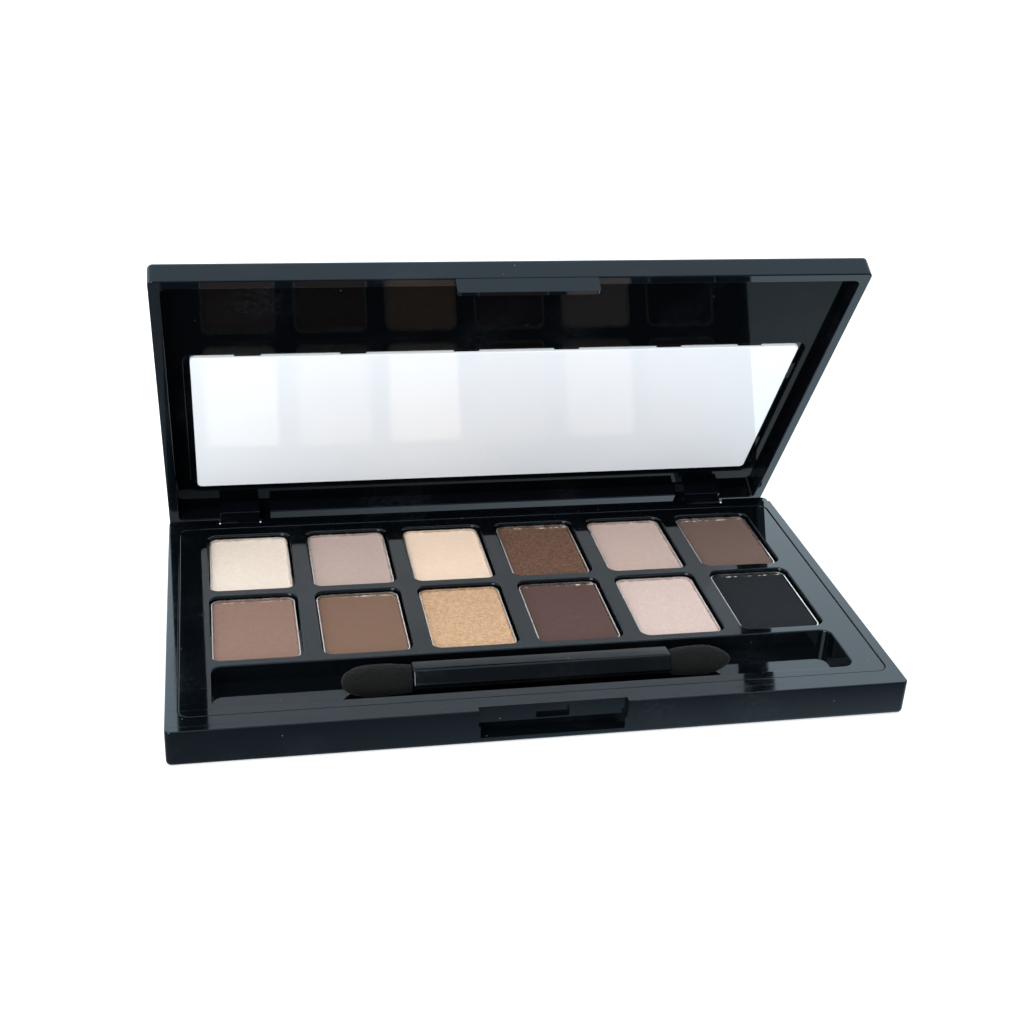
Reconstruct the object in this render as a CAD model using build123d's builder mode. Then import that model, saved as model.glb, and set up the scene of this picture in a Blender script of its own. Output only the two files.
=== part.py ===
"""Twelve-pan eyeshadow palette: hinged lid with mirror, pan tray and double-ended applicator.

Millimetres, +Z up, +X to the right, the lid hinges at the back (+Y).
The origin is the centre of the flat underside of the base.
"""

from math import cos, radians, sin
import os

from build123d import *

os.makedirs("parts", exist_ok=True)

# ---------------------------------------------------------------- driving dimensions
palette_width = 134.0
palette_depth = 78.0
corner_radius = 1.0
outer_edge_radius = 0.8
rim_edge_radius = 0.25

base_height = 7.0
base_floor = 1.3

lid_height = 4.6
lid_plate = 0.8
lid_gap = 0.1
lid_open_angle = 60.0

# the rim of the base, seen from above, is narrow at the sides and wide front and back
side_rim = 2.2
front_rim = 4.2
back_rim = 5.3

# pan tray
deck_level = 6.9
deck_thickness = 1.2
tray_clearance = 0.08
well_columns = 6
well_rows = 2
well_width = 16.8
well_depth = 22.9
well_radius = 2.0
well_pitch_x = 20.25
well_pitch_y = 25.2
wells_centre_y = 6.6
well_floor_level = 2.7
well_floor_thickness = 0.9
well_wall = 0.8
lip_radius = 0.3

# trough for the applicator
trough_half_width = 59.0
trough_back_y = -19.5
trough_front_y = -32.3
trough_radius = 2.0
trough_floor_level = 3.5
trough_floor_thickness = 0.6
trough_wall = 0.8

# pans, powder and glue
pan_width = 16.0
pan_depth = 22.3
pan_radius = 1.8
pan_wall = 0.2
pan_height = 3.3
glue_thickness = 0.2
glue_radius = 4.0
powder_below_rim = 0.15
pan_offset_x = -0.12

# hinge
pin_radius = 0.6
pin_running_clearance = 0.05
pin_from_back = 1.3
pin_level = 2.9
pin_inner_end = 44.2
pin_recess = 0.8
lug_inner_x = 48.0
lug_width = 8.3
lug_radius = 1.3
lug_side_clearance = 0.25
notch_floor = 1.0
rebate_width = 3.2
rebate_depth = 0.7

# latch
recess_half_width = 13.5
recess_depth = 1.3
nail_hollow_depth = 3.2
nail_hollow_top = 3.7
catch_half_width = 3.0
catch_depth = 0.9
catch_floor = 4.0
catch_top = 6.2
tab_half_width = 13.2
tab_thickness = 0.95
tab_drop = 3.2
tab_inset = 0.1
tab_root = 1.0
tab_corner_radius = 0.7
nub_half_width = 2.6
nub_height = 0.15
nub_centre_drop = 2.0

# lid interior
lid_side_wall = 2.0
lid_back_wall = 4.0
lid_back_wall_outboard = 2.0
lid_slot_inner_x = 45.6
lid_slot_skin = 1.0
liner_face = 2.75
liner_clearance = 0.1
mirror_width = 121.4
mirror_depth = 42.9
mirror_thickness = 0.8
mirror_centre = 31.8
mirror_radius = 1.0
mirror_gap = 1.25
window_radius = 2.0
tape_thickness = 0.1
tape_margin = 3.0
rib_length = 5.0

# applicator
applicator_y = -26.0
applicator_level = 6.12
handle_start = -23.6
handle_end = 24.4
handle_across_flats = 5.2
handle_chamfer = 0.5
stem_radius = 0.9
stem_length = 8.5
wide_tip_length = 13.0
wide_tip_radius = 3.2
pointed_tip_length = 12.7
pointed_tip_radius = 3.1
tip_widest = 0.45
tip_neck = 0.75
tip_flat_level = 3.55

# ---------------------------------------------------------------- derived places
half_width = palette_width / 2
half_depth = palette_depth / 2
pin_y = half_depth - pin_from_back
tray_level = deck_level - deck_thickness
pan_level = well_floor_level + glue_thickness
pan_top = pan_level + pan_height
powder_top = pan_top - powder_below_rim
lug_outer_x = lug_inner_x + lug_width

pocket_width = palette_width - 2 * side_rim
pocket_front = -half_depth + front_rim
pocket_back = half_depth - back_rim
pocket_depth = pocket_back - pocket_front
pocket_centre = (pocket_front + pocket_back) / 2
ledge_width = 1.2
pocket_radius = 2.0
seam_radius = 0.18

# The lid is drawn on its rim plane: local x runs along the hinge, local y from the hinge
# side to the front, and local z from the lid towards the base.
open_rad = radians(lid_open_angle)
lid_along = Vector(0, -cos(open_rad), sin(open_rad))
lid_inward = Vector(0, -sin(open_rad), -cos(open_rad))
pin_to_rim = base_height + lid_gap - pin_level
hinge_axis_point = Vector(0, pin_y, pin_level)
lid_origin = hinge_axis_point - lid_along * pin_from_back - lid_inward * pin_to_rim
lid_plane = Plane(origin=lid_origin, x_dir=(1, 0, 0), z_dir=lid_inward)
lid_axis = Axis(lid_origin, lid_inward)


# Plane on the outer face of the tab: local y runs towards the base, the normal into the lid.
lid_front = Plane(
    origin=lid_origin + lid_along * (palette_depth - tab_inset), x_dir=(1, 0, 0), z_dir=-lid_along
)


def lid_section(x):
    """Plane across the lid at x: local x runs along the lid, local y towards the base."""
    return Plane(origin=lid_origin + Vector(x, 0, 0), x_dir=lid_along, z_dir=(1, 0, 0))


def save(part, name):
    """Label a finished piece and write its STEP file."""
    part.label = name
    export_step(part, f"parts/{name}.step")


# ---------------------------------------------------------------- base shell
with BuildPart() as base_shell:
    with BuildSketch():
        RectangleRounded(palette_width, palette_depth, corner_radius)
    extrude(amount=base_height)
    fillet(base_shell.faces().sort_by(Axis.Z)[0].edges(), outer_edge_radius)
    fillet(base_shell.faces().sort_by(Axis.Z)[-1].edges(), rim_edge_radius)
    # hollow under the tray, then the seat that the tray drops into
    with BuildSketch(Plane.XY.offset(base_floor)):
        with Locations((0, pocket_centre)):
            RectangleRounded(
                pocket_width - 2 * ledge_width, pocket_depth - 2 * ledge_width, pocket_radius - 0.5
            )
    extrude(amount=base_height, mode=Mode.SUBTRACT)
    with BuildSketch(Plane.XY.offset(tray_level)):
        with Locations((0, pocket_centre)):
            RectangleRounded(pocket_width, pocket_depth, pocket_radius)
    extrude(amount=base_height, mode=Mode.SUBTRACT)
    rim = base_shell.faces().sort_by(Axis.Z)[-1]
    fillet([edge for wire in rim.inner_wires() for edge in wire.edges()], seam_radius)
    # lowered strip behind the hinge line, which the back of the lid swings over
    with BuildSketch(Plane.XY.offset(base_height - rebate_depth)):
        with Locations((0, half_depth)):
            Rectangle(palette_width + 2, 2 * rebate_width)
    extrude(amount=base_height, mode=Mode.SUBTRACT)
    # notches for the two hinge lugs of the lid, open to the back
    notch_front = pin_y - lug_radius - lug_side_clearance
    notch_width = lug_width + 2 * lug_side_clearance
    lug_centre_x = lug_inner_x + lug_width / 2
    with BuildSketch(Plane.XY.offset(notch_floor)):
        with Locations((-lug_centre_x, notch_front), (lug_centre_x, notch_front)):
            Rectangle(notch_width, palette_depth, align=(Align.CENTER, Align.MIN))
    extrude(amount=base_height, mode=Mode.SUBTRACT)
    # pin bores, drilled in from both side faces
    for side in (-1, 1):
        with BuildSketch(Plane.YZ.offset(side * pin_inner_end)):
            with Locations((pin_y, pin_level)):
                Circle(pin_radius)
        extrude(amount=side * half_width, mode=Mode.SUBTRACT)
    # latch recess in the front wall, with a nail hollow under the lid's tab
    with BuildSketch(Plane.XY.offset(nail_hollow_top)):
        with Locations((0, -half_depth)):
            Rectangle(2 * recess_half_width, 2 * recess_depth)
    extrude(amount=base_height, mode=Mode.SUBTRACT)
    with BuildSketch(Plane.XY.offset(base_floor)):
        with Locations((0, -half_depth)):
            Rectangle(2 * recess_half_width - 0.8, 2 * nail_hollow_depth)
    extrude(amount=nail_hollow_top - base_floor + 0.01, mode=Mode.SUBTRACT)
    with BuildSketch(Plane.XY.offset(catch_floor)):
        with Locations((0, -half_depth)):
            Rectangle(2 * catch_half_width, 2 * (recess_depth + catch_depth))
    extrude(amount=catch_top - catch_floor, mode=Mode.SUBTRACT)
save(base_shell.part, "base_shell")


# ---------------------------------------------------------------- pan tray
def well_places():
    """Centres of the wells, back row first and each row from left to right."""
    places = []
    for row in range(well_rows):
        for column in range(well_columns):
            x = (column - (well_columns - 1) / 2) * well_pitch_x
            y = wells_centre_y + (0.5 - row) * well_pitch_y
            places.append((x, y))
    return places


trough_width = 2 * trough_half_width
trough_depth = trough_back_y - trough_front_y
trough_centre = (trough_back_y + trough_front_y) / 2

with BuildPart() as pan_tray:
    with BuildSketch(Plane.XY.offset(tray_level)):
        with Locations((0, pocket_centre)):
            RectangleRounded(
                pocket_width - 2 * tray_clearance, pocket_depth - 2 * tray_clearance, pocket_radius - 0.1
            )
    extrude(amount=deck_thickness)
    fillet(pan_tray.faces().sort_by(Axis.Z)[-1].edges(), seam_radius)
    # cups of the twelve wells and the body of the trough hang below the deck
    with BuildSketch(Plane.XY.offset(well_floor_level - well_floor_thickness)):
        with Locations(*well_places()):
            RectangleRounded(well_width + 2 * well_wall, well_depth + 2 * well_wall, well_radius)
    extrude(amount=tray_level - well_floor_level + well_floor_thickness)
    with BuildSketch(Plane.XY.offset(trough_floor_level - trough_floor_thickness)):
        with Locations((0, trough_centre)):
            RectangleRounded(trough_width + 2 * trough_wall, trough_depth + 2 * trough_wall, trough_radius)
    extrude(amount=tray_level - trough_floor_level + trough_floor_thickness)
    with BuildSketch(Plane.XY.offset(well_floor_level)):
        with Locations(*well_places()):
            RectangleRounded(well_width, well_depth, well_radius)
    extrude(amount=deck_level, mode=Mode.SUBTRACT)
    with BuildSketch(Plane.XY.offset(trough_floor_level)):
        with Locations((0, trough_centre)):
            RectangleRounded(trough_width, trough_depth, trough_radius)
    extrude(amount=deck_level, mode=Mode.SUBTRACT)
    deck = pan_tray.faces().sort_by(Axis.Z)[-1]
    fillet([edge for wire in deck.inner_wires() for edge in wire.edges()], lip_radius)
save(pan_tray.part, "pan_tray")


# ---------------------------------------------------------------- pans, powder and glue
def make_pan(x, y, name):
    """A drawn tin pan, open at the top."""
    with BuildPart() as pan:
        with BuildSketch(Plane.XY.offset(pan_level)):
            with Locations((x, y)):
                RectangleRounded(pan_width, pan_depth, pan_radius)
        extrude(amount=pan_height)
        with BuildSketch(Plane.XY.offset(pan_level + pan_wall)):
            with Locations((x, y)):
                RectangleRounded(pan_width - 2 * pan_wall, pan_depth - 2 * pan_wall, pan_radius - pan_wall)
        extrude(amount=pan_height, mode=Mode.SUBTRACT)
    save(pan.part, name)


def make_powder(x, y, name):
    """The pressed cake that fills a pan."""
    with BuildPart() as powder:
        with BuildSketch(Plane.XY.offset(pan_level + pan_wall)):
            with Locations((x, y)):
                RectangleRounded(pan_width - 2 * pan_wall, pan_depth - 2 * pan_wall, pan_radius - pan_wall)
        extrude(amount=powder_top - pan_level - pan_wall)
    save(powder.part, name)


for number, (well_x, well_y) in enumerate(well_places(), start=1):
    pan_x = well_x + pan_offset_x
    make_pan(pan_x, well_y, f"shadow_pan_{number:02d}")
    make_powder(pan_x, well_y, f"pressed_powder_{number:02d}")

with BuildPart() as pan_glue_dots:
    with BuildSketch(Plane.XY.offset(well_floor_level)):
        with Locations(*well_places()):
            Circle(glue_radius)
    extrude(amount=glue_thickness)
save(pan_glue_dots.part, "pan_glue_dots")


# ---------------------------------------------------------------- hinge pins
def make_hinge_pin(side, name):
    """A steel pin pressed in from one side face of the base."""
    pin_length = half_width - pin_recess - pin_inner_end
    with BuildPart() as pin:
        with BuildSketch(Plane.YZ.offset(side * pin_inner_end)):
            with Locations((pin_y, pin_level)):
                Circle(pin_radius)
        extrude(amount=side * pin_length)
        chamfer(pin.edges().filter_by(GeomType.CIRCLE), 0.15)
    save(pin.part, name)


make_hinge_pin(-1, "hinge_pin_left")
make_hinge_pin(1, "hinge_pin_right")


# ---------------------------------------------------------------- lid shell
cavity_bottom = lid_height - lid_plate
cavity_front = palette_depth - lid_side_wall

with BuildPart() as lid_shell:
    with BuildSketch(lid_plane.offset(-lid_height)):
        with Locations((0, half_depth)):
            RectangleRounded(palette_width, palette_depth, corner_radius)
    extrude(amount=lid_height)
    fillet(lid_shell.faces().sort_by(lid_axis)[0].edges(), outer_edge_radius)
    fillet(lid_shell.faces().sort_by(lid_axis)[-1].edges(), rim_edge_radius)
    # interior, with a thick back wall between the hinge lugs
    with BuildSketch(lid_plane.offset(-cavity_bottom)):
        with Locations((0, (lid_back_wall_outboard + cavity_front) / 2)):
            RectangleRounded(palette_width - 2 * lid_side_wall, cavity_front - lid_back_wall_outboard, 1.2)
        with Locations((0, 0)):
            Rectangle(2 * lug_outer_x, 2 * lid_back_wall, mode=Mode.SUBTRACT)
    extrude(amount=lid_height, mode=Mode.SUBTRACT)
    rim = lid_shell.faces().sort_by(lid_axis)[-1]
    fillet([edge for wire in rim.inner_wires() for edge in wire.edges()], seam_radius)
    # slots beside the lugs, which leave a thin skin at the back
    slot_width = lug_inner_x - lid_slot_inner_x
    slot_centre_x = lug_inner_x - slot_width / 2
    with BuildSketch(lid_plane.offset(-cavity_bottom)):
        with Locations((-slot_centre_x, lid_back_wall), (slot_centre_x, lid_back_wall)):
            Rectangle(slot_width, 2 * (lid_back_wall - lid_slot_skin))
    extrude(amount=lid_height, mode=Mode.SUBTRACT)
    # hinge lugs
    for start_x in (-lug_outer_x, lug_inner_x):
        with BuildSketch(lid_section(start_x)):
            with Locations((pin_from_back, pin_to_rim)):
                Circle(lug_radius)
            with Locations((pin_from_back, pin_to_rim)):
                Rectangle(2 * lug_radius, pin_to_rim + 1.0, align=(Align.CENTER, Align.MAX))
        extrude(amount=lug_width)
    for start_x in (-lug_outer_x - 1, lug_inner_x - 1):
        with BuildSketch(lid_section(start_x)):
            with Locations((pin_from_back, pin_to_rim)):
                Circle(pin_radius + pin_running_clearance)
        extrude(amount=lug_width + 2, mode=Mode.SUBTRACT)
    # latch tab, with a nub on its inner side
    with BuildSketch(lid_front):
        with Locations((0, (tab_drop - tab_root) / 2)):
            RectangleRounded(2 * tab_half_width, tab_drop + tab_root, tab_corner_radius)
    extrude(amount=tab_thickness)
    nub_root = palette_depth - tab_inset - tab_thickness
    with BuildSketch(lid_section(-nub_half_width)):
        with Locations((nub_root, nub_centre_drop)):
            Circle(nub_height)
    extrude(amount=2 * nub_half_width)
save(lid_shell.part, "lid_shell")


# ---------------------------------------------------------------- lid liner
liner_half_width = half_width - lid_side_wall - liner_clearance
liner_back = lid_back_wall_outboard + liner_clearance
liner_front = cavity_front - liner_clearance
window_width = mirror_width + 2 * mirror_gap
window_depth = mirror_depth + 2 * mirror_gap
rib_reach = mirror_gap - 0.1


def rib_rows():
    """Centres of the ribs along the long sides of the mirror."""
    return (-50.0, -30.0, -8.0, 12.0, 33.0, 50.0)


with BuildPart() as lid_liner:
    with BuildSketch(lid_plane.offset(-cavity_bottom)):
        with Locations((0, (liner_back + liner_front) / 2)):
            RectangleRounded(2 * liner_half_width, liner_front - liner_back, 1.1)
        with Locations((0, 0)):
            Rectangle(
                2 * (lug_outer_x + liner_clearance),
                2 * (lid_back_wall + liner_clearance),
                mode=Mode.SUBTRACT,
            )
        with Locations((0, mirror_centre)):
            RectangleRounded(window_width, window_depth, window_radius, mode=Mode.SUBTRACT)
    extrude(amount=cavity_bottom - liner_face)
    front = lid_liner.faces().sort_by(lid_axis)[-1]
    fillet([edge for wire in front.inner_wires() for edge in wire.edges()], seam_radius)
    # small ribs that centre the mirror in its window
    with BuildSketch(lid_plane.offset(-cavity_bottom)):
        for x in rib_rows():
            with Locations((x, mirror_centre + window_depth / 2), (x, mirror_centre - window_depth / 2)):
                Rectangle(rib_length, 2 * rib_reach)
        for y in (mirror_centre - 13.0, mirror_centre + 13.0):
            with Locations((-window_width / 2, y), (window_width / 2, y)):
                Rectangle(2 * rib_reach, rib_length)
        with Locations((0, mirror_centre)):
            Rectangle(window_width + 2, window_depth + 2, mode=Mode.INTERSECT)
    extrude(amount=cavity_bottom - liner_face - 0.5)
save(lid_liner.part, "lid_liner")


# ---------------------------------------------------------------- mirror and its tape
with BuildPart() as mirror_tape:
    with BuildSketch(lid_plane.offset(-cavity_bottom)):
        with Locations((0, mirror_centre)):
            Rectangle(mirror_width - 2 * tape_margin, mirror_depth - 2 * tape_margin)
    extrude(amount=tape_thickness)
save(mirror_tape.part, "mirror_tape")

with BuildPart() as mirror_glass:
    with BuildSketch(lid_plane.offset(-cavity_bottom + tape_thickness)):
        with Locations((0, mirror_centre)):
            RectangleRounded(mirror_width, mirror_depth, mirror_radius)
    extrude(amount=mirror_thickness)
    chamfer(mirror_glass.faces().sort_by(lid_axis)[-1].edges(), 0.15)
save(mirror_glass.part, "mirror_glass")


# ---------------------------------------------------------------- applicator
applicator_centre = Vector(0, applicator_y, applicator_level)
applicator_plane = Plane(origin=applicator_centre, x_dir=(1, 0, 0), z_dir=(0, -1, 0))
applicator_axis = Axis(applicator_centre, (1, 0, 0))
handle_origin = applicator_centre + Vector(handle_start, 0, 0)
handle_section = Plane(origin=handle_origin, x_dir=(0, 1, 0), z_dir=(1, 0, 0))
hexagon_corner = handle_across_flats / 2 / cos(radians(30))

with BuildPart() as applicator_handle:
    with BuildSketch(handle_section):
        RegularPolygon(radius=hexagon_corner, side_count=6)
    extrude(amount=handle_end - handle_start)
    chamfer(applicator_handle.faces().filter_by(Axis.X).edges(), handle_chamfer)
    with BuildSketch(handle_section.offset(-stem_length)):
        Circle(stem_radius)
    extrude(amount=handle_end - handle_start + 2 * stem_length)
save(applicator_handle.part, "applicator_handle")


def make_tip(start_x, length, radius, direction, name):
    """A foam tip, half an ellipse beyond its widest place, pressed flat where it rests."""
    widest = start_x + direction * length * tip_widest
    tip = start_x + direction * length
    tip_angle = 0 if direction > 0 else 90
    with BuildPart() as sponge:
        with BuildSketch(applicator_plane):
            with BuildLine():
                Line((start_x, 0), (start_x, radius * tip_neck))
                ThreePointArc(
                    (start_x, radius * tip_neck),
                    ((start_x + widest) / 2, radius * (3 + tip_neck) / 4),
                    (widest, radius),
                )
                EllipticalCenterArc((widest, 0), abs(tip - widest), radius, tip_angle, arc_size=90)
                Line((tip, 0), (start_x, 0))
            make_face()
        revolve(axis=applicator_axis)
        with BuildSketch(Plane.XY.offset(tip_flat_level)):
            with Locations((start_x, applicator_y)):
                Rectangle(4 * length, 4 * radius)
        extrude(amount=-trough_floor_level, mode=Mode.SUBTRACT)
        with BuildSketch(Plane(origin=(start_x, applicator_y, applicator_level), z_dir=(direction, 0, 0))):
            Circle(stem_radius)
        extrude(amount=stem_length, mode=Mode.SUBTRACT)
    save(sponge.part, name)


make_tip(handle_start, wide_tip_length, wide_tip_radius, -1, "sponge_tip_wide")
make_tip(handle_end, pointed_tip_length, pointed_tip_radius, 1, "sponge_tip_pointed")
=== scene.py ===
# %% [markdown]
# # An open eyeshadow palette
# A slim black compact stands open on a white table: a tray with twelve pressed powders, a
# double-ended foam applicator and a lid with a mirror. The moulded plastic, the tin pans, the
# hinge and the mirror come from the CAD model and are only given finishes here. The powders,
# the foam tips and the handle are soft or worn shapes, so they are modelled in this lesson.

# %% Load the frame
from math import cos, hypot, pi, radians, sin

import bmesh
import bpy
from mathutils import Matrix, Vector


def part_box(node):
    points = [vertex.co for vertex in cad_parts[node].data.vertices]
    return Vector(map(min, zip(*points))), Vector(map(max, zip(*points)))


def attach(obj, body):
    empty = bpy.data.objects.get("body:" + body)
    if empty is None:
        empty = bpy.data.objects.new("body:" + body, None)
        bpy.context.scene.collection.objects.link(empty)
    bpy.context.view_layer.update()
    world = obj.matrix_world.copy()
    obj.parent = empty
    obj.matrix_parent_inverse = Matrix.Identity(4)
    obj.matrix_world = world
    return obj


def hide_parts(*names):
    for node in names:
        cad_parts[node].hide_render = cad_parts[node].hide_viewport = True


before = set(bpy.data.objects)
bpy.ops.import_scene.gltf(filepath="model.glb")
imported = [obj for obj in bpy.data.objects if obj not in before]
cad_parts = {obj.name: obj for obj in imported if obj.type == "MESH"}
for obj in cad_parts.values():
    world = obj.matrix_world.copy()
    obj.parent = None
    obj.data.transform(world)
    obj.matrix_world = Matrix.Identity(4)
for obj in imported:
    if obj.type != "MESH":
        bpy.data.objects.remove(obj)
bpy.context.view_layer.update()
mm = 0.001

# %% [markdown]
# ## The camera
# The compact is seen from the front left and a little above, as it lies on a table before a
# person. A camera can be placed by hand in the viewport, but here its direction is written as
# three angles, so that it can be read and changed. The lens is hardly longer than a normal
# one, so the front of the compact looks larger than its back, as it does to the eye.

# %% Make the camera
look_azimuth = radians(12.5)
look_down = radians(26.89)
camera_roll = radians(3.29)
camera_distance = 0.3251
aim = Vector((6.79, 35.64, 7.0)) * mm

forward = Vector((sin(look_azimuth) * cos(look_down), cos(look_azimuth) * cos(look_down), -sin(look_down)))
level_right = forward.cross(Vector((0, 0, 1))).normalized()
level_up = level_right.cross(forward)
right = level_right * cos(camera_roll) + level_up * sin(camera_roll)
up = level_up * cos(camera_roll) - level_right * sin(camera_roll)

lens = bpy.data.cameras.new("portrait_lens")
lens.lens = 51.82
lens.sensor_width = 36.0
lens.clip_start = 0.01
camera = bpy.data.objects.new("camera", lens)
bpy.context.scene.collection.objects.link(camera)
camera.matrix_world = Matrix.Translation(aim - forward * camera_distance) @ Matrix(
    ((right.x, up.x, -forward.x), (right.y, up.y, -forward.y), (right.z, up.z, -forward.z))
).to_4x4()
bpy.context.scene.camera = camera
print("camera stands at", [round(v, 4) for v in camera.matrix_world.translation])

# %% [markdown]
# ## Helpers for node trees
# A material is a small tree of nodes. Written out in full, each node takes several lines, so
# one helper adds a node, sets its settings and fills its sockets. A socket is filled with a
# number or colour, or with another node's output, which makes a link.


# %% Helpers for nodes
def add_node(tree, kind, sockets=None, **settings):
    """Add a node, set its settings, and give each named socket a value or a link."""
    made = tree.nodes.new(kind)
    for name, value in settings.items():
        setattr(made, name, value)
    for name, value in (sockets or {}).items():
        if isinstance(value, bpy.types.NodeSocket):
            tree.links.new(value, made.inputs[name])
        else:
            made.inputs[name].default_value = value
    return made


def math_node(tree, operation, *values, clamp=True):
    """One sum on numbers or outputs, held between 0 and 1 unless told otherwise."""
    sockets = dict(enumerate(values))
    made = add_node(tree, "ShaderNodeMath", sockets, operation=operation, use_clamp=clamp)
    return made.outputs[0]


def mix_colours(tree, factor, first, second):
    """A mix of two colours."""
    made = add_node(tree, "ShaderNodeMix", {0: factor, 6: first, 7: second}, data_type="RGBA")
    return made.outputs[2]


def remap(tree, value, low, high, to_low=0.0, to_high=1.0):
    """A value stretched from one range to another, and held at its ends."""
    sockets = {"Value": value, "From Min": low, "From Max": high, "To Min": to_low, "To Max": to_high}
    return add_node(tree, "ShaderNodeMapRange", sockets).outputs[0]


def noise(tree, vector, scale, detail=3.0, roughness=0.5):
    """Fractal noise from 0 to 1, with the size of its lumps set by the scale."""
    sockets = {"Vector": vector, "Scale": scale, "Detail": detail, "Roughness": roughness}
    return add_node(tree, "ShaderNodeTexNoise", sockets).outputs[0]


# %% [markdown]
# ## The table and the light
# Small black glossy things are hard to light: the plastic shows little but reflections. A
# studio puts them in a white tent, which gives long pale reflections and soft
# shadows. The world plays the tent here, cool in colour, and brighter behind the compact than
# before it. The camera itself sees a plain white backdrop. Two large softboxes add the main
# light: a low one in front, which reaches the mirror under the leaning lid, and a soft one
# overhead, which is kept out of the reflections.

# %% World and softboxes
bpy.context.scene.view_settings.view_transform = "Standard"

tent_front = 0.22
tent_back = 2.1
tent_top = 1.15
front_edge, back_edge = -0.2, 0.85
top_edge, top_full = 0.6, 0.95
backdrop_level = 1.1
tent_tint = (0.80, 0.92, 1.0, 1.0)
tent_white = (1.0, 1.0, 1.0, 1.0)

world = bpy.data.worlds.new("light_tent")
bpy.context.scene.world = world
world.use_nodes = True
sky = world.node_tree
sky.nodes.clear()
direction = add_node(sky, "ShaderNodeTexCoord").outputs["Generated"]
split = add_node(sky, "ShaderNodeSeparateXYZ", {0: direction})
around = remap(sky, split.outputs["Y"], front_edge, back_edge, tent_front, tent_back)
upward = remap(sky, split.outputs["Z"], top_edge, top_full)
tent_level = add_node(sky, "ShaderNodeMix", {0: upward, 2: around, 3: tent_top}).outputs[0]
for_eye = add_node(sky, "ShaderNodeLightPath").outputs["Is Camera Ray"]
level_sockets = {0: for_eye, 2: tent_level, 3: backdrop_level}
brightness = add_node(sky, "ShaderNodeMix", level_sockets).outputs[0]
tent_colour = mix_colours(sky, for_eye, tent_tint, tent_white)
tent = add_node(sky, "ShaderNodeBackground", {"Color": tent_colour, "Strength": brightness})
add_node(sky, "ShaderNodeOutputWorld", {"Surface": tent.outputs[0]})


def softbox(name, place, size, power):
    """A square area light that faces the compact."""
    light = bpy.data.lights.new(name, "AREA")
    light.size = size
    light.energy = power
    lamp = bpy.data.objects.new(name, light)
    bpy.context.scene.collection.objects.link(lamp)
    lamp.location = place
    lamp.rotation_euler = (aim - Vector(place)).to_track_quat("-Z", "Y").to_euler()
    return lamp


softbox("front_softbox", (-0.6, -0.9, 0.42), 0.6, 11.0)
overhead = softbox("top_softbox", (0.1, -0.25, 1.2), 0.9, 6.4)
overhead.visible_glossy = False

# %% [markdown]
# ## The table
# The table is one plain white sheet. Seen by the camera it is pure white, with a faint shadow
# under the compact. Its reflection in black plastic is a painted glow: a painted shade right
# before the compact, which must stay dark, and painted light beside it, dim on the left and
# bright on the right. A Light Path node tells the two cases apart, so each gets its own brightness.

# %% Make the table
table_size = 6.0
table_white = (0.8, 0.81, 0.82, 1.0)
table_glow = 0.42
# Glow levels of the table's painted reflection: painted shade right before the compact, and painted light
# beside it, dim on the left and bright on the right.
painted_shade_level = 0.17
left_level = 0.3
right_level = 1.5
side_reach = 0.07
shade_edge = -0.04
shade_blur = 0.01

bpy.ops.object.select_all(action="DESELECT")
bpy.ops.mesh.primitive_plane_add(size=table_size)
table = bpy.context.object
table.name = "table"
paper = bpy.data.materials.new("white_paper")
paper.use_nodes = True
sheet = paper.node_tree
sheet.nodes.clear()
ray = add_node(sheet, "ShaderNodeLightPath").outputs
diffuse = add_node(sheet, "ShaderNodeBsdfDiffuse", {"Color": table_white})
eye_glow = math_node(sheet, "MULTIPLY", ray["Is Camera Ray"], table_glow)
glow = add_node(sheet, "ShaderNodeEmission", {"Strength": eye_glow})
seen = add_node(sheet, "ShaderNodeAddShader", {0: diffuse.outputs[0], 1: glow.outputs[0]})
spot = add_node(sheet, "ShaderNodeTexCoord").outputs["Object"]
spot_split = add_node(sheet, "ShaderNodeSeparateXYZ", {0: spot})
# Glossy rays see a painted glow instead of the lit paper, with a painted shade before the compact.
painted_side_level = remap(sheet, spot_split.outputs["X"], -side_reach, side_reach, left_level, right_level)
behind = remap(sheet, spot_split.outputs["Y"], shade_edge - shade_blur, shade_edge + shade_blur)
level = add_node(sheet, "ShaderNodeMix", {0: behind, 2: painted_shade_level, 3: painted_side_level}).outputs[0]
painted_reflection_glow = add_node(sheet, "ShaderNodeEmission", {"Color": tent_tint, "Strength": level})
choices = {0: ray["Is Glossy Ray"], 1: seen.outputs[0], 2: painted_reflection_glow.outputs[0]}
both = add_node(sheet, "ShaderNodeMixShader", choices)
add_node(sheet, "ShaderNodeOutputMaterial", {"Surface": both.outputs[0]})
table.data.materials.append(paper)
print("table:", table_size, "m wide")

# %% [markdown]
# ## Effects that several finishes share
# Dust, finger marks and fine grain show on more than one material. Each is a node group, built
# once, with named inputs, so that every finish can ask for its own amount. The patterns read
# the object's own coordinates in metres, so a scale of 1000 means lumps of about a millimetre.


# %% Build the shared node groups
def new_group(name, inputs, outputs):
    """An empty shader node group with named sockets, its input node and its output node."""
    group = bpy.data.node_groups.new(name, "ShaderNodeTree")
    for label, kind, value in inputs:
        socket = group.interface.new_socket(name=label, in_out="INPUT", socket_type=kind)
        if value is not None:
            socket.default_value = value
    for label, kind in outputs:
        group.interface.new_socket(name=label, in_out="OUTPUT", socket_type=kind)
    entry = group.nodes.new("NodeGroupInput")
    leave = group.nodes.new("NodeGroupOutput")
    return group, entry.outputs, leave.inputs


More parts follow.
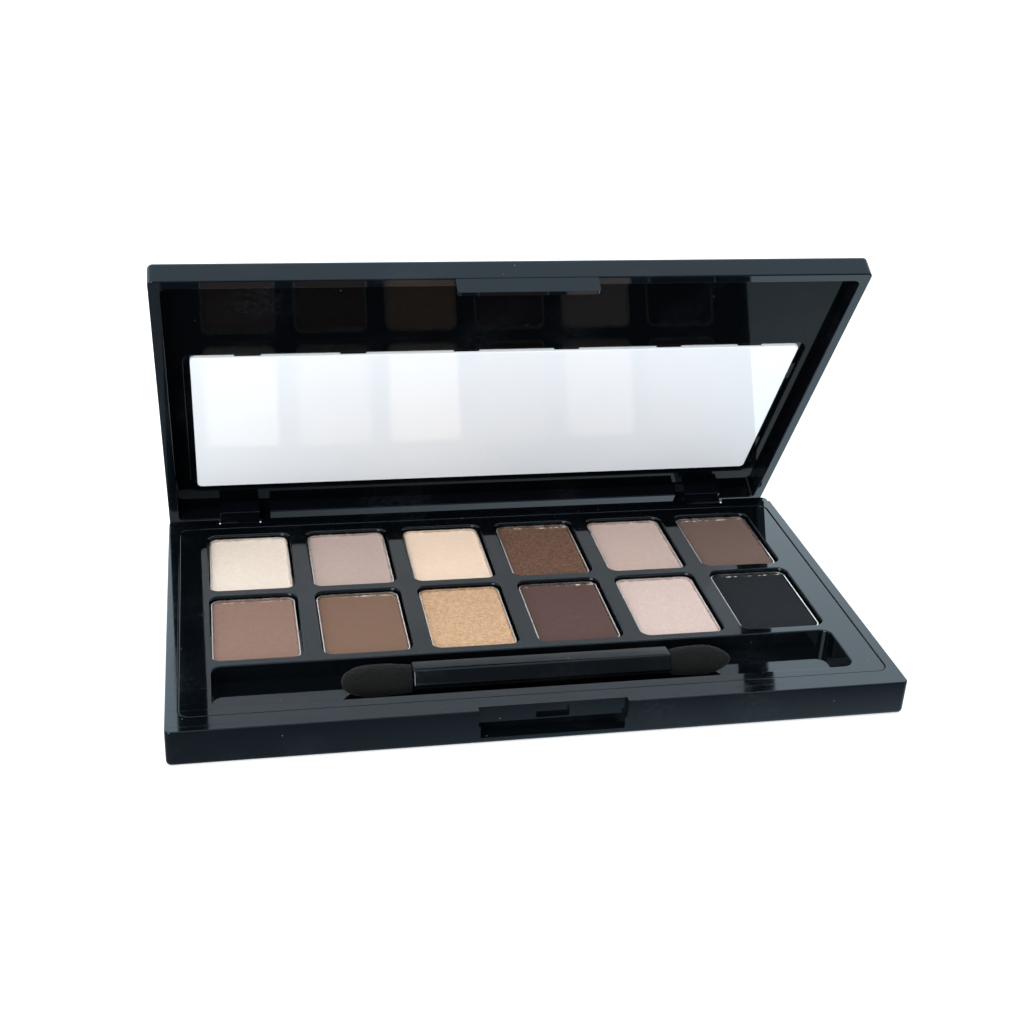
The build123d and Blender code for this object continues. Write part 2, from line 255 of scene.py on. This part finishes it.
def build_dust():
    """Single motes of dust, far apart."""
    inputs = [("Vector", "NodeSocketVector", None), ("Share", "NodeSocketFloat", 0.3)]
    group, given, out = new_group("dust_motes", inputs, [("Mask", "NodeSocketFloat")])
    spacing = 420.0
    mote_size = 0.042
    cells = add_node(group, "ShaderNodeTexVoronoi", {"Vector": given["Vector"], "Scale": spacing})
    cell_dice = add_node(group, "ShaderNodeSeparateColor", {0: cells.outputs["Color"]})
    chosen = math_node(group, "LESS_THAN", cell_dice.outputs[0], given["Share"])
    mote = remap(group, cells.outputs["Distance"], mote_size, mote_size * 0.4)
    group.links.new(math_node(group, "MULTIPLY", chosen, mote), out["Mask"])
    return group


def build_handling():
    """Cloudy finger marks and a few hairline scratches."""
    inputs = [("Vector", "NodeSocketVector", None), ("Size", "NodeSocketFloat", 60.0)]
    outputs = [("Haze", "NodeSocketFloat"), ("Scratches", "NodeSocketFloat")]
    group, given, out = new_group("handling_marks", inputs, outputs)
    patches = remap(group, noise(group, given["Vector"], given["Size"], 2.0), 0.52, 0.72)
    streaks = remap(group, noise(group, given["Vector"], 900.0, 4.0, 0.6), 0.35, 0.7)
    group.links.new(math_node(group, "MULTIPLY", patches, streaks), out["Haze"])
    lines = None
    for turn in (0.35, -0.9):
        sockets = {"Vector": given["Vector"], "Rotation": (0.0, 0.0, turn), "Scale": (18.0, 2600.0, 60.0)}
        stretched = add_node(group, "ShaderNodeMapping", sockets).outputs[0]
        line = remap(group, noise(group, stretched, 1.0, 0.0), 0.74, 0.8)
        lines = line if lines is None else math_node(group, "MAXIMUM", lines, line)
    group.links.new(lines, out["Scratches"])
    return group


flakes_per_grain = 2.6


def build_grain():
    """Fine grain for pressed powder and foam, with soft mottling and single bright flakes."""
    inputs = [("Vector", "NodeSocketVector", None), ("Size", "NodeSocketFloat", 2500.0)]
    outputs = [(label, "NodeSocketFloat") for label in ("Mottle", "Grain", "Flakes")]
    group, given, out = new_group("fine_grain", inputs, outputs)
    group.links.new(noise(group, given["Vector"], 700.0, 5.0, 0.7), out["Mottle"])
    group.links.new(noise(group, given["Vector"], given["Size"], 3.0, 0.7), out["Grain"])
    finer = math_node(group, "MULTIPLY", given["Size"], flakes_per_grain, clamp=False)
    cells = add_node(group, "ShaderNodeTexVoronoi", {"Vector": given["Vector"], "Scale": finer})
    dice = add_node(group, "ShaderNodeSeparateColor", {0: cells.outputs["Color"]})
    group.links.new(remap(group, dice.outputs[0], 0.86, 1.0), out["Flakes"])
    return group


dust_motes = build_dust()
handling_marks = build_handling()
fine_grain = build_grain()
print("node groups:", [g.name for g in bpy.data.node_groups])


# %% [markdown]
# ## Gloss black plastic
# The compact is injection moulded in black plastic with a polished finish. Real gloss plastic
# is never perfectly flat or clean: it has slight ripples from the mould, motes of dust that
# its static charge pulls in, and the haze of finger marks. The colour is nearly black, so
# almost all of the look comes from the roughness, the bump and a cool tint in what it mirrors.


# %% Helpers for finishes
def new_material(name):
    """A material with an empty tree, and object coordinates to draw patterns on."""
    material = bpy.data.materials.new(name)
    material.use_nodes = True
    tree = material.node_tree
    tree.nodes.clear()
    return material, tree, add_node(tree, "ShaderNodeTexCoord").outputs["Object"]


def place_group(tree, group, **sockets):
    """Put a shared group into a material and return its outputs."""
    made = tree.nodes.new("ShaderNodeGroup")
    made.node_tree = group
    for name, value in sockets.items():
        if isinstance(value, bpy.types.NodeSocket):
            tree.links.new(value, made.inputs[name])
        else:
            made.inputs[name].default_value = value
    return made.outputs


def shade(tree, sockets):
    """Finish a material with a Principled shader."""
    surface = add_node(tree, "ShaderNodeBsdfPrincipled", sockets)
    add_node(tree, "ShaderNodeOutputMaterial", {"Surface": surface.outputs[0]})


def bump(tree, height, depth):
    """A bump of so many millimetres."""
    sockets = {"Height": height, "Strength": 1.0, "Distance": depth * mm}
    return add_node(tree, "ShaderNodeBump", sockets).outputs[0]


# %% The plastic finishes
cool_tint = (0.74, 0.90, 1.0, 1.0)
dust_grey = (0.30, 0.31, 0.32, 1.0)
finger_film = (0.035, 0.04, 0.048, 1.0)
ripple_depth = 0.012


def gloss_plastic(name, colour, roughness, shine, dust, marks):
    """Polished black plastic with ripples, dust and finger marks."""
    material, tree, place = new_material(name)
    motes = place_group(tree, dust_motes, Vector=place, Share=dust)["Mask"]
    handling = place_group(tree, handling_marks, Vector=place)
    haze = math_node(tree, "MULTIPLY", handling["Haze"], marks)
    scratches = math_node(tree, "MULTIPLY", handling["Scratches"], marks)
    filmed = mix_colours(tree, math_node(tree, "MULTIPLY", haze, 0.5), colour, finger_film)
    rough = math_node(tree, "MULTIPLY_ADD", haze, 0.25, roughness)
    rough = math_node(tree, "ADD", rough, math_node(tree, "MULTIPLY", scratches, 0.2))
    rough = math_node(tree, "ADD", rough, math_node(tree, "MULTIPLY", motes, 0.6))
    ripples = noise(tree, place, 110.0, 2.0)
    height = math_node(tree, "ADD", math_node(tree, "MULTIPLY", ripples, 0.7), motes)
    shade(tree, {
        "Base Color": mix_colours(tree, motes, filmed, dust_grey),
        "Roughness": rough,
        "Specular IOR Level": shine,
        "Specular Tint": cool_tint,
        "Normal": bump(tree, height, ripple_depth),
    })
    return material


plastics = {
    "shell_plastic": gloss_plastic("gloss_shell", (0.002, 0.003, 0.0045, 1.0), 0.045, 0.5, 0.2, 0.5),
    "tray_plastic": gloss_plastic("gloss_tray", (0.002, 0.003, 0.004, 1.0), 0.035, 0.5, 0.25, 0.4),
    "liner_plastic": gloss_plastic("gloss_liner", (0.001, 0.0015, 0.002, 1.0), 0.05, 0.1, 0.25, 0.3),
    "handle_plastic": gloss_plastic("gloss_handle", (0.0015, 0.0015, 0.002, 1.0), 0.08, 0.4, 0.2, 0.6),
}
print("plastic finishes:", len(plastics))

# %% [markdown]
# ## Mirror, metal, tape and glue
# The mirror still wears the milky film that protects it in the shop: most of its light is a
# soft white haze, and only part is a clear reflection. A Principled shader says that with a
# pale colour and a low metallic value. A small glow stands for the light that the film
# spreads from its bright surroundings. The pans are drawn from tin plate, so they are metal
# with fine drawing lines. The pins are bright steel. Tape and glue are nearly hidden.


# %% The other hard finishes
film_pale = (0.82, 0.85, 0.88, 1.0)
film_smeared = (0.79, 0.82, 0.85, 1.0)
painted_film_glow = (0.90, 0.94, 1.0, 1.0)


def filmed_mirror(name):
    """Mirror glass under a milky protective film, with faint smears and a small painted glow."""
    material, tree, place = new_material(name)
    motes = place_group(tree, dust_motes, Vector=place, Share=0.2)["Mask"]
    haze = place_group(tree, handling_marks, Vector=place, Size=35.0)["Haze"]
    shade(tree, {
        "Base Color": mix_colours(tree, haze, film_pale, film_smeared),
        "Metallic": 0.08,
        "Roughness": remap(tree, math_node(tree, "ADD", haze, motes), 0.0, 1.0, 0.03, 0.25),
        # Painted glow: the film shines a little though it is no lamp, for the light it spreads.
        "Emission Color": painted_film_glow,
        "Emission Strength": 0.2,
        "Normal": bump(tree, noise(tree, place, 60.0, 1.0), 0.004),
    })
    return material


def bright_metal(name, colour, roughness, line_scale):
    """Bright metal with drawing lines."""
    material, tree, place = new_material(name)
    lines = add_node(tree, "ShaderNodeMapping", {"Vector": place, "Scale": line_scale}).outputs[0]
    drawn = noise(tree, lines, 1.0, 3.0)
    stain = noise(tree, place, 300.0, 3.0)
    dull = tuple(0.7 * c for c in colour[:3]) + (1.0,)
    shade(tree, {
        "Base Color": mix_colours(tree, remap(tree, stain, 0.45, 0.8), colour, dull),
        "Metallic": 1.0,
        "Roughness": remap(tree, drawn, 0.3, 0.7, roughness, roughness + 0.18),
        "Normal": bump(tree, drawn, 0.01),
    })
    return material


def soft_filler(name, colour, dark, scale, roughness):
    """Tape foam or dried glue: one colour with cells or flow in it."""
    material, tree, place = new_material(name)
    cells = noise(tree, place, scale, 4.0, 0.6)
    shade(tree, {
        "Base Color": mix_colours(tree, remap(tree, cells, 0.3, 0.7), dark, colour),
        "Roughness": remap(tree, cells, 0.2, 0.8, roughness, roughness + 0.15),
        "Normal": bump(tree, cells, 0.05),
    })
    return material


hard_finishes = {
    **plastics,
    "mirror_silver": filmed_mirror("filmed_mirror"),
    "pan_tin": bright_metal("drawn_tin", (0.80, 0.78, 0.75, 1.0), 0.2, (400.0, 400.0, 6000.0)),
    "pin_steel": bright_metal("pin_steel_bright", (0.62, 0.62, 0.63, 1.0), 0.15, (300.0, 5000.0, 5000.0)),
    "tape_foam": soft_filler("mounting_tape", (0.7, 0.7, 0.68, 1.0), (0.5, 0.5, 0.48, 1.0), 2500.0, 0.75),
    "pan_glue": soft_filler("dried_glue", (0.62, 0.58, 0.45, 1.0), (0.5, 0.45, 0.33, 1.0), 500.0, 0.3),
}
print("hard finishes:", sorted(hard_finishes))


# %% [markdown]
# ## Dress the CAD nodes
# The shells, the tray, the pans, the pins and the mirror are right as they are. Each node
# names its material slot in the record, so the finish is chosen by that name.

# %% Give the CAD nodes their finishes
slot_of_node = {
    "base_shell": "shell_plastic",
    "lid_shell": "shell_plastic",
    "pan_tray": "tray_plastic",
    "lid_liner": "liner_plastic",
    "mirror_glass": "mirror_silver",
    "mirror_tape": "tape_foam",
    "pan_glue_dots": "pan_glue",
    "hinge_pin_left": "pin_steel",
    "hinge_pin_right": "pin_steel",
}
pan_count = 12
for number in range(1, pan_count + 1):
    slot_of_node[f"shadow_pan_{number:02d}"] = "pan_tin"
for node_name, slot_name in slot_of_node.items():
    part_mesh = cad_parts[node_name].data
    part_mesh.materials.clear()
    part_mesh.materials.append(hard_finishes[slot_name])
print("dressed nodes:", len(slot_of_node))

# %% [markdown]
# ## Pressed powder
# A pressed eyeshadow is pigment and mica, squeezed into its pan by a fabric-covered punch.
# Matte shades look like fine chalk. Satin and shimmer shades hold flakes of mica, which
# sparkle. The recipe is the same for all twelve: a colour with soft mottling, fine grain in
# the bump with painted shade in its pits, as many flakes as the shade asks for, and on some
# shades a broken painted highlight along the back wall, where the tin wall glints.


# %% The powder finish
# Painted highlight: a pale broken line along the back wall stands for the tin wall's glint.
painted_glint_white = (0.80, 0.76, 0.70, 1.0)
glint_line_inset = 0.55 * mm
glint_width = 0.26 * mm


def painted_back_glint(tree, place, number):
    """A broken painted highlight along the back edge of a cake, where the tin wall glints."""
    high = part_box(f"pressed_powder_{number:02d}")[1]
    along = add_node(tree, "ShaderNodeSeparateXYZ", {0: place}).outputs["Y"]
    off_line = math_node(tree, "SUBTRACT", along, high.y - glint_line_inset, clamp=False)
    distance = math_node(tree, "ABSOLUTE", off_line)
    band = remap(tree, distance, glint_width, glint_width * 0.3)
    broken = remap(tree, noise(tree, place, 1100.0, 3.0), 0.47, 0.58)
    patchy = remap(tree, noise(tree, place, 160.0, 1.0), 0.38, 0.52)
    return math_node(tree, "MULTIPLY", math_node(tree, "MULTIPLY", band, broken), patchy)


def pressed_powder(number, colour, shimmer, grain_size, back_glint=0.0):
    """One pressed shade: its colour, how much mica it holds, how coarse it is and how strong the painted
    glint along its back wall is.
    """
    material, tree, place = new_material(f"powder_shade_{number:02d}")
    grain = place_group(tree, fine_grain, Vector=place, Size=grain_size)
    deep = tuple(c * (0.94 - 0.22 * shimmer) for c in colour) + (1.0,)
    pale = tuple(min(1.0, c * (1.03 + 0.16 * shimmer)) for c in colour) + (1.0,)
    mottled = mix_colours(tree, remap(tree, grain["Mottle"], 0.3, 0.7), deep, pale)
    # Darker where the grain's bump is low: painted shade in the grain's pits, deeper on shimmer shades.
    hollow = tuple(c * (1.0 - 0.55 * shimmer) for c in deep[:3]) + (1.0,)
    pit_shaded = mix_colours(tree, remap(tree, grain["Grain"], 0.36, 0.62, 0.85, 0.0), mottled, hollow)
    flake_share = math_node(tree, "MULTIPLY", grain["Flakes"], 0.45 * shimmer)
    flake_colour = tuple(min(1.0, c * 1.5 + 0.1) for c in colour) + (1.0,)
    flaked = mix_colours(tree, flake_share, pit_shaded, flake_colour)
    # Mix in the painted glint of the tin wall as pale colour.
    glint_share = math_node(tree, "MULTIPLY", painted_back_glint(tree, place, number), back_glint)
    shade(tree, {
        "Base Color": mix_colours(tree, glint_share, flaked, painted_glint_white),
        "Metallic": remap(tree, flake_share, 0.0, 1.0, 0.12 * shimmer, 0.75),
        "Roughness": remap(tree, flake_share, 0.0, 1.0, 0.92 - 0.3 * shimmer, 0.4),
        "Specular IOR Level": 0.15,
        "Normal": bump(tree, math_node(tree, "ADD", grain["Grain"], flake_share), 0.05 + 0.07 * shimmer),
    })
    return material


# %% Mix the twelve shades
matte_grain = 4200.0
coarse_grain = 2000.0
# The fifth number, where given, is the strength of the painted tin-wall glint along the back wall.
shades = [
    pressed_powder(1, (0.97, 0.81, 0.68), 0.12, matte_grain),
    pressed_powder(2, (0.57, 0.43, 0.38), 0.1, matte_grain),
    pressed_powder(3, (0.96, 0.73, 0.56), 0.0, matte_grain),
    pressed_powder(4, (0.21, 0.11, 0.07), 0.8, coarse_grain, 0.9),
    pressed_powder(5, (0.62, 0.46, 0.40), 0.1, matte_grain),
    pressed_powder(6, (0.17, 0.11, 0.09), 0.0, matte_grain, 0.9),
    pressed_powder(7, (0.30, 0.18, 0.14), 0.2, matte_grain, 0.3),
    pressed_powder(8, (0.22, 0.13, 0.09), 0.05, matte_grain, 0.6),
    pressed_powder(9, (0.72, 0.45, 0.27), 0.45, coarse_grain),
    pressed_powder(10, (0.12, 0.07, 0.06), 0.2, matte_grain, 0.8),
    pressed_powder(11, (0.73, 0.56, 0.50), 0.2, matte_grain),
    pressed_powder(12, (0.016, 0.018, 0.021), 0.0, matte_grain, 0.7),
]
print("powder shades:", len(shades))

# %% [markdown]
# ## Helpers for modelling
# Operators act on whatever is selected. Loading the frame leaves its nodes selected, so each
# piece starts from a clean selection, and faces and edges are then picked by a test on where
# they are or where they point.


# %% Helpers for modelling
def edit(piece):
    """Enter edit mode on one piece with nothing else selected."""
    bpy.ops.object.select_all(action="DESELECT")
    piece.select_set(True)
    bpy.context.view_layer.objects.active = piece
    bpy.ops.object.mode_set(mode="EDIT")


def pick(piece, kind, test):
    """In edit mode, select only the verts, edges or faces that pass a test."""
    bpy.ops.mesh.select_mode(type={"verts": "VERT", "edges": "EDGE", "faces": "FACE"}[kind])
    bpy.ops.mesh.select_all(action="DESELECT")
    mesh = bmesh.from_edit_mesh(piece.data)
    count = 0
    for element in getattr(mesh, kind):
        if test(element):
            element.select_set(True)
            count += 1
    mesh.select_flush_mode()
    bmesh.update_edit_mesh(piece.data)
    return count


def apply_modifier(piece, kind, **settings):
    """Add a modifier, set it up and apply it."""
    modifier = piece.modifiers.new(kind.lower(), kind)
    for name, value in settings.items():
        setattr(modifier, name, value)
    bpy.ops.object.select_all(action="DESELECT")
    piece.select_set(True)
    bpy.context.view_layer.objects.active = piece
    bpy.ops.object.modifier_apply(modifier=modifier.name)


def clouds(name, size, contrast=1.0, depth=2):
    """A cloud texture for the Displace modifier."""
    texture = bpy.data.textures.new(name, "CLOUDS")
    texture.noise_scale = size * mm
    texture.noise_depth = depth
    texture.contrast = contrast
    return texture


def finish_piece(piece, body, material, nodes):
    """Dress a finished piece, let it ride on its body and stand for its CAD nodes."""
    piece.data.materials.clear()
    piece.data.materials.append(material)
    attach(piece, body)
    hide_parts(*nodes)


# %% [markdown]
# ## The powder cakes
# Each cake fills its pan almost to the rim. The punch leaves a thin raised bead along the tin
# wall, and that bead chips: this is what makes a pressed powder look like powder and not like
# a painted tile. One cake is modelled from a cube: its upright edges are bevelled to the pan's
# corners, and its top is inset and sunk. A voxel remesh then gives even faces, which three
# Displace modifiers can push later. One cake is enough, since the others are copies of it.

# %% Model one cake
cake_low, cake_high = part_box("pressed_powder_01")
cake_size = cake_high - cake_low
cake_corner = 1.5 * mm
bead_width = 0.3 * mm
bead_height = 0.1 * mm
cake_voxel = 0.2 * mm

bpy.ops.object.select_all(action="DESELECT")
bpy.ops.mesh.primitive_cube_add(size=1)
model_cake = bpy.context.object
edit(model_cake)
bpy.ops.transform.resize(value=cake_size)
upright = pick(model_cake, "edges", lambda e: abs((e.verts[0].co - e.verts[1].co).z) > 0.9 * cake_size.z)
bpy.ops.mesh.bevel(offset=cake_corner, segments=6, profile=0.5)
pick(model_cake, "faces", lambda f: f.normal.z > 0.9)
bpy.ops.mesh.inset(thickness=bead_width)
bpy.ops.mesh.inset(thickness=bead_width)
bpy.ops.transform.translate(value=(0, 0, -bead_height))
bpy.ops.object.mode_set(mode="OBJECT")
apply_modifier(model_cake, "REMESH", mode="VOXEL", voxel_size=cake_voxel)
print("cake:", upright, "upright edges bevelled,", len(model_cake.data.polygons), "faces")


# %% [markdown]
# ## Chips and hollows
# The chips belong near the wall only, so a vertex group weighs each point by its distance
# from it. Each copy then gets its place and three Displace modifiers: chips near the wall, a
# soft hollow and a fine roughness from the cloth of the punch. The textures lie in the
# cake's own coordinates, which are the compact's, so no two cakes chip alike.

# %% Weigh the edge of the cake
chip_reach = 0.5 * mm


def wall_distance(point):
    """How far a point of the model cake is from the pan's wall."""
    across = abs(point.x) - (cake_size.x / 2 - cake_corner)
    along = abs(point.y) - (cake_size.y / 2 - cake_corner)
    if across > 0 and along > 0:
        return cake_corner - hypot(across, along)
    return cake_corner - max(across, along)


near_wall = model_cake.vertex_groups.new(name="near_wall")
top_skin = model_cake.vertex_groups.new(name="top_skin")
for vertex in model_cake.data.vertices:
    if vertex.co.z > 0.2 * cake_size.z:
        top_skin.add([vertex.index], 1.0, "REPLACE")
        weight = max(0.0, 1.0 - wall_distance(vertex.co) / chip_reach)
        near_wall.add([vertex.index], weight, "REPLACE")

print("points near the wall:", sum(wall_distance(v.co) < chip_reach for v in model_cake.data.vertices))

# %% Copy, place and chip the cakes
chip_depth = 0.34 * mm
hollow_depth = 0.12 * mm
cloth_depth = 0.035 * mm
chip_texture = clouds("edge_chips", 0.7, 3.0, 3)
hollow_texture = clouds("soft_hollows", 7.0, 1.0, 1)
rough_texture = clouds("punch_cloth", 0.55, 1.5, 2)

for number in range(1, pan_count + 1):
    node_name = f"pressed_powder_{number:02d}"
    low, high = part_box(node_name)
    cake = model_cake.copy()
    cake.data = model_cake.data.copy()
    cake.name = f"powder_cake_{number:02d}"
    bpy.context.scene.collection.objects.link(cake)
    cake.location = (low + high) / 2
    bpy.ops.object.select_all(action="DESELECT")
    cake.select_set(True)
    bpy.context.view_layer.objects.active = cake
    bpy.ops.object.transform_apply(location=True, rotation=False, scale=False)
    shared = {"direction": "Z", "texture_coords": "LOCAL"}
    apply_modifier(cake, "DISPLACE", texture=chip_texture, strength=chip_depth, mid_level=1.0,
                   vertex_group="near_wall", **shared)
    apply_modifier(cake, "DISPLACE", texture=hollow_texture, strength=hollow_depth, mid_level=1.0,
                   vertex_group="top_skin", **shared)
    apply_modifier(cake, "DISPLACE", texture=rough_texture, strength=cloth_depth, mid_level=1.0,
                   vertex_group="top_skin", **shared)
    bpy.ops.object.shade_smooth()
    finish_piece(cake, "base", shades[number - 1], [node_name])
bpy.data.objects.remove(model_cake)
print("powder cakes:", pan_count)

# %% [markdown]
# ## The foam tips
# A sponge tip is a sleeve of fine open foam, moulded round and pushed over a thin stem. Its
# outline is turned like a pot: a profile line is drawn from the stem, over the foam and back
# to the axis, and Spin takes it round. The foam has a cell pattern in its bump, and its dark
# grey is paler where the cells stand proud; the darker pores between them are painted shade.


# %% The foam finish
foam_pore_shade = (0.0008, 0.0008, 0.0008, 1.0)
foam_skin_grey = (0.005, 0.0053, 0.005, 1.0)
foam_worn_grey = (0.007, 0.0073, 0.007, 1.0)
foam_cells = 2800.0
foam_grain = 2600.0


def charcoal_foam(name):
    """Fine open-cell foam in dark grey."""
    material, tree, place = new_material(name)
    cells = add_node(tree, "ShaderNodeTexVoronoi", {"Vector": place, "Scale": foam_cells})
    cell_height = remap(tree, cells.outputs["Distance"], 0.1, 0.6)
    grain = place_group(tree, fine_grain, Vector=place, Size=foam_grain)
    # Darker in the cells' low points: painted shade in the pores.
    body_colour = mix_colours(tree, cell_height, foam_pore_shade, foam_skin_grey)
    worn_share = remap(tree, grain["Mottle"], 0.45, 0.75, 0.0, 0.6)
    worn = mix_colours(tree, worn_share, body_colour, foam_worn_grey)
    shade(tree, {
        "Base Color": worn,
        "Roughness": remap(tree, grain["Grain"], 0.0, 1.0, 0.85, 1.0),
        "Specular IOR Level": 0.2,
        "Sheen Weight": 0.05,
        "Sheen Roughness": 0.5,
        "Normal": bump(tree, math_node(tree, "ADD", cell_height, grain["Grain"]), 0.16),
    })
    return material


# %% [markdown]
# ## Turning the tips
# The profile is closed at its end by a superellipse, blunt for the wide tip and slimmer for
# the pointed one. It starts inside a bore for the handle's stem. A cut along the bottom
# flattens the foam where it is pressed on the tray, and a voxel remesh and two Displace
# modifiers take away the lathe look.

# %% Turn the two tips
foam = charcoal_foam("charcoal_foam")
foam_skin = clouds("foam_skin", 0.6, 1.2, 2)
foam_lumps = clouds("foam_lumps", 4.0, 1.0, 1)
stem_radius = 0.9 * mm
stem_length = 8.5 * mm
foam_voxel = 0.2 * mm
lump_depth = 0.3 * mm
skin_depth = 0.16 * mm
foam_inset = 0.03 * mm
foam_pressed = 0.05 * mm
profile_steps = 28
spin_steps = 64


def tip_profile(length, radius, neck, widest, roundness):
    """Half outline of a tip: distances from the handle and from the axis."""
    points = [(stem_length, 0.0), (stem_length, stem_radius), (0.0, stem_radius), (0.0, neck * radius)]
    for step in range(1, profile_steps + 1):
        along = step / profile_steps
        if along < widest:
            share = neck + (1.0 - neck) * sin(along / widest * pi / 2)
        else:
            beyond = (along - widest) / (1.0 - widest)
            share = max(0.0, 1.0 - beyond**roundness) ** (1.0 / roundness)
        points.append((along * length, share * radius))
    return points


def turn_tip(name, node_name, direction, neck, widest, roundness):
    """A foam tip, turned about the applicator's axis inside the box of its CAD node."""
    low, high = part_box(node_name)
    start = low.x if direction > 0 else high.x
    rod_low, rod_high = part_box("applicator_handle")
    axis = Vector((start, (low.y + high.y) / 2, (rod_low.z + rod_high.z) / 2))
    radius = high.z - axis.z - foam_inset
    outline = tip_profile(high.x - low.x, radius, neck, widest, roundness)
    mesh = bpy.data.meshes.new(name)
    mesh.from_pydata(
        [axis + Vector((direction * along, 0, out)) for along, out in outline],
        [(i, i + 1) for i in range(len(outline) - 1)],
        [],
    )
    tip = bpy.data.objects.new(name, mesh)
    bpy.context.scene.collection.objects.link(tip)
    edit(tip)
    bpy.ops.mesh.select_all(action="SELECT")
    bpy.ops.mesh.spin(steps=spin_steps, angle=2 * pi, center=axis, axis=(1, 0, 0))
    bpy.ops.mesh.select_all(action="SELECT")
    bpy.ops.mesh.remove_doubles(threshold=0.002 * mm)
    bpy.ops.mesh.normals_make_consistent(inside=False)
    bpy.ops.mesh.select_all(action="SELECT")
    rest_point = Vector((start, axis.y, low.z + foam_pressed))
    bpy.ops.mesh.bisect(plane_co=rest_point, plane_no=(0, 0, 1), use_fill=True, clear_inner=True)
    bpy.ops.object.mode_set(mode="OBJECT")
    apply_modifier(tip, "REMESH", mode="VOXEL", voxel_size=foam_voxel)
    apply_modifier(tip, "DISPLACE", texture=foam_lumps, strength=lump_depth, mid_level=1.0,
                   direction="NORMAL", texture_coords="LOCAL")
    apply_modifier(tip, "DISPLACE", texture=foam_skin, strength=skin_depth, mid_level=1.0,
                   direction="NORMAL", texture_coords="LOCAL")
    bpy.ops.object.shade_smooth()
    finish_piece(tip, "applicator", foam, [node_name])
    print(name, "has", len(tip.data.polygons), "faces")


turn_tip("foam_tip_wide", "sponge_tip_wide", -1, 0.86, 0.45, 2.3)
turn_tip("foam_tip_pointed", "sponge_tip_pointed", 1, 0.8, 0.5, 1.7)

# %% [markdown]
# ## The applicator handle
# The handle is a six-sided rod of black plastic. Its long edges are softly rounded, and they
# are what the eye sees: each one carries a thin line of light. The rod starts as a cylinder
# with six sides. Its long edges are bevelled, its ends are inset, and a Bevel modifier softens
# the rim of each end. The thin stems that hold the foam never show, so they are left out here.

# %% Model the handle
handle_low, handle_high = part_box("applicator_handle")
handle_centre = (handle_low + handle_high) / 2
rod_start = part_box("sponge_tip_wide")[1].x
rod_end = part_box("sponge_tip_pointed")[0].x
rod_radius = (handle_high.y - handle_low.y) / 2
rod_length = rod_end - rod_start
edge_softness = 0.3 * mm
end_softness = 0.35 * mm

bpy.ops.object.select_all(action="DESELECT")
bpy.ops.mesh.primitive_cylinder_add(
    vertices=6,
    radius=rod_radius,
    depth=rod_length,
    location=((rod_start + rod_end) / 2, handle_centre.y, handle_centre.z),
    rotation=(0, pi / 2, 0),
)
handle = bpy.context.object
handle.name = "handle_rod"
bpy.ops.object.transform_apply(location=True, rotation=True, scale=True)
edit(handle)
pick(handle, "edges", lambda e: abs((e.verts[0].co - e.verts[1].co).x) > 0.9 * rod_length)
bpy.ops.mesh.bevel(offset=edge_softness, segments=3, profile=0.5)
for end_sign in (-1, 1):
    pick(handle, "faces", lambda f: f.normal.x * end_sign > 0.9)
    bpy.ops.mesh.inset(thickness=end_softness)
print("handle:", len(handle.data.polygons), "faces before its ends")
bpy.ops.object.mode_set(mode="OBJECT")
rim = {"limit_method": "ANGLE", "angle_limit": radians(60)}
apply_modifier(handle, "BEVEL", width=end_softness, segments=3, **rim)
bpy.ops.object.shade_smooth_by_angle(angle=radians(35))
handle_black = plastics["handle_plastic"]
finish_piece(handle, "applicator", handle_black, ["applicator_handle"])
